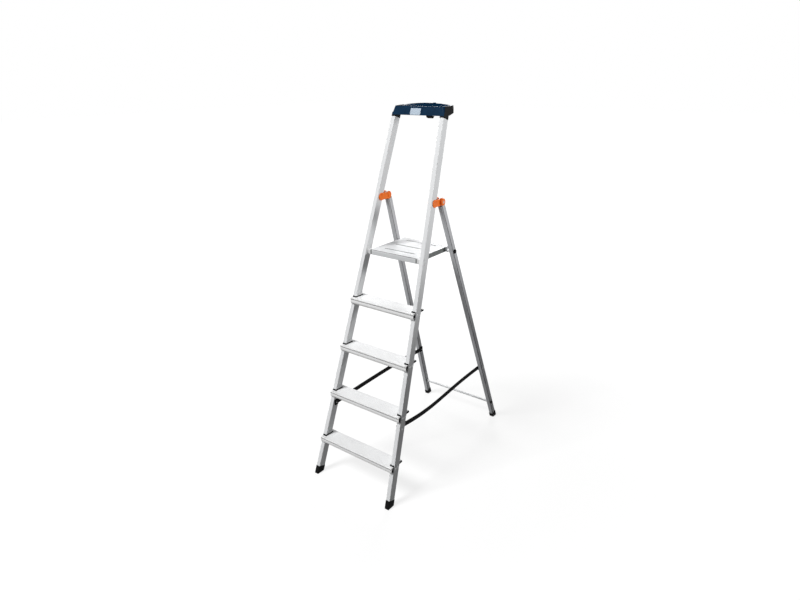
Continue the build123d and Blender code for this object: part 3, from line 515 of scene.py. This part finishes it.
def half_thickness(u):
    """Half the strap's thickness at u from its middle, a share of its width: a rolled selvedge."""
    selvedge = 1 + SELVEDGE_THICKER * (abs(abs(u) - SELVEDGE_PLACE) < SELVEDGE_HALF)
    return STRAP_THICKNESS / 2 * selvedge * (1 - EDGE_THINNER * (2 * abs(u)) ** EDGE_POWER)


def strap(side):
    """Webbing strap from the clip on the stile to the clip on the rear leg."""
    start = middle("front_strap_clip_" + side)
    end = middle("rear_strap_clip_" + side)
    low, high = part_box("strap_" + side)
    start.x = end.x = (low[0] + high[0]) / 2
    run = end - start
    across_run = Vector((0, -run.z, run.y)).normalized()
    data = bmesh.new()
    uv = data.loops.layers.uv.new("UVMap")
    rings = []
    for step in range(STRAP_STEPS + 1):
        share = -STRAP_PAST + (1 + 2 * STRAP_PAST) * step / STRAP_STEPS
        here = strap_point(side, start, run, share)
        ring = []
        for face in (1, -1):
            for k in range(STRAP_COLUMNS + 1):
                u = k / STRAP_COLUMNS - 0.5
                out = Vector((face * half_thickness(u), 0, 0))
                ring.append(data.verts.new(here + out + across_run * face * u * STRAP_WIDTH))
        rings.append(ring)
    count = len(rings[0])
    for step, (first, second) in enumerate(zip(rings, rings[1:])):
        for k in range(count):
            after = (k + 1) % count
            quad = data.faces.new([first[k], first[after], second[after], second[k]])
            quad.smooth = True
            corners = ((step, k), (step, k + 1), (step + 1, k + 1), (step + 1, k))
            for loop, (s, w) in zip(quad.loops, corners):
                loop[uv].uv = (s / STRAP_STEPS * run.length, w * STRAP_WIDTH / STRAP_COLUMNS)
    for ring in (rings[0], rings[-1]):
        data.faces.new(ring)
    piece = finish_piece("webbing_" + side, data, strap_web)
    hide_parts("strap_" + side)
    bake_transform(piece)


for side in SIDES:
    strap(side)


# ---------------------------------------------------------------- tabs over the treads

def stile_inner(height):
    """Distance of a stile's inner face from the middle, at a height."""
    return STILE_INNER - STILE_TAPER * height


def tab(side, number):
    """Pressed aluminium tab over a tread's end, against the stile's inner face."""
    sign = 1 if side == "right" else -1
    slope = tan(radians(FRONT_LEAN))
    base = FIRST_TREAD + TREAD_PITCH * number + TAB_FOOT
    front = foot_front + base * slope + TAB_FRONT
    outline = [(0, 0), (TAB_SLANT, TAB_HEIGHT)]
    for k in range(TAB_STEPS + 1):
        angle = pi / 2 * k / TAB_STEPS
        along = TAB_LENGTH - TAB_ROUND + TAB_ROUND * sin(angle)
        outline.append((along, TAB_HEIGHT - TAB_ROUND + TAB_ROUND * cos(angle)))
    outline.append((TAB_LENGTH, 0))
    data = bmesh.new()
    rings = []
    for depth, inset in ((0, 0), (TAB_THICK - TAB_EDGE, 0), (TAB_THICK, TAB_EDGE)):
        ring = []
        for along, up in outline:
            y = TAB_LENGTH / 2 + (along - TAB_LENGTH / 2) * (1 - 2 * inset / TAB_LENGTH)
            z = up * (1 - inset / TAB_HEIGHT)
            x = stile_inner(base + z) - TAB_GAP - depth
            ring.append(data.verts.new((sign * x, front + y + z * slope, base + z)))
        rings.append(ring)
    for first, second in zip(rings, rings[1:]):
        for k in range(len(outline)):
            after = (k + 1) % len(outline)
            data.faces.new([first[k], first[after], second[after], second[k]])
    data.faces.new(rings[0])
    data.faces.new(rings[-1])
    piece = finish_piece("tread_tab_" + side + "_" + str(number + 1), data, bracket_metal)
    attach(piece, "front_frame")


for side in SIDES:
    for number in range(TREADS):
        tab(side, number)


# ---------------------------------------------------------------- studio

sheet = bmesh.new()
bmesh.ops.create_grid(sheet, x_segments=1, y_segments=1, size=FLOOR_SIZE / 2)
floor = put("floor", mesh_of("floor", sheet))
paper = Material("floor_paper", Roughness=0.95, Base_Color=(*FLOOR_GREY, 1), Specular_IOR_Level=0.0)
paper.shader.inputs["Emission Color"].default_value = (1, 1, 1, 1)
place = paper.node("TexCoord").outputs["Object"]
distance = paper.node("VectorMath", {0: place}, operation="LENGTH").outputs["Value"]
level = paper.spread(distance, FLOOR_NEAR, 1.0, *FLOOR_RISE)
paper.link(paper.maths("MULTIPLY", paper.seen(), level), "Emission Strength")
floor.data.materials.append(paper.material)

world = bpy.data.worlds.new("studio")
bpy.context.scene.world = world
world.use_nodes = True
sky = Nodes(world.node_tree)
background = sky.tree.nodes["Background"]
background.inputs["Color"].default_value = (1, 1, 1, 1)
sky.tree.links.new(sky.spread(sky.seen(), AMBIENT, 1.0, 0.0, 1.0), background.inputs["Strength"])


def shine(name, kind, place, target, power):
    """Lamp that faces a point."""
    lamp = bpy.data.lights.new(name, kind)
    lamp.energy = power
    made = put(name, lamp)
    made.location = place
    made.rotation_euler = (Vector(target) - Vector(place)).to_track_quat("-Z", "Y").to_euler()
    return lamp


def softbox(name, place, target, size, power):
    """Square area lamp."""
    lamp = shine(name, "AREA", place, target, power)
    lamp.shape = "SQUARE"
    lamp.size = size


def spot(name, place, target, radius, angle, blend, power):
    """Soft-edged round lamp that lights only what is inside its cone."""
    lamp = shine(name, "SPOT", place, target, power)
    lamp.shadow_soft_size = radius
    lamp.spot_size = radians(angle)
    lamp.spot_blend = blend


softbox("key", place=(-2.35, -5.4, 8.0), target=(0, -0.1, 0.8), size=2.8, power=900)
softbox("back", place=(-1.6, 3.4, 2.6), target=(0, 0, 0.9), size=1.8, power=80)
spot("side", place=(2.8, 0.9, 1.9), target=(0.1, 0.0, 1.66), radius=0.35, angle=38, blend=0.5, power=225)

# ---------------------------------------------------------------- camera

camera = put("camera", bpy.data.cameras.new("camera"))
camera.location = Vector((0, foot_front, 0)) + Vector(CAMERA_FROM_FOOT)
yaw, pitch, roll = (radians(v) for v in CAMERA_TURN)
turn = Matrix.Rotation(yaw, 4, "Z") @ Matrix.Rotation(pi / 2 + pitch, 4, "X") @ Matrix.Rotation(roll, 4, "Z")
camera.rotation_euler = turn.to_euler()
camera.data.lens = CAMERA_LENS
camera.data.sensor_width = SENSOR
bpy.context.scene.camera = camera
bpy.context.scene.view_settings.view_transform = "Standard"
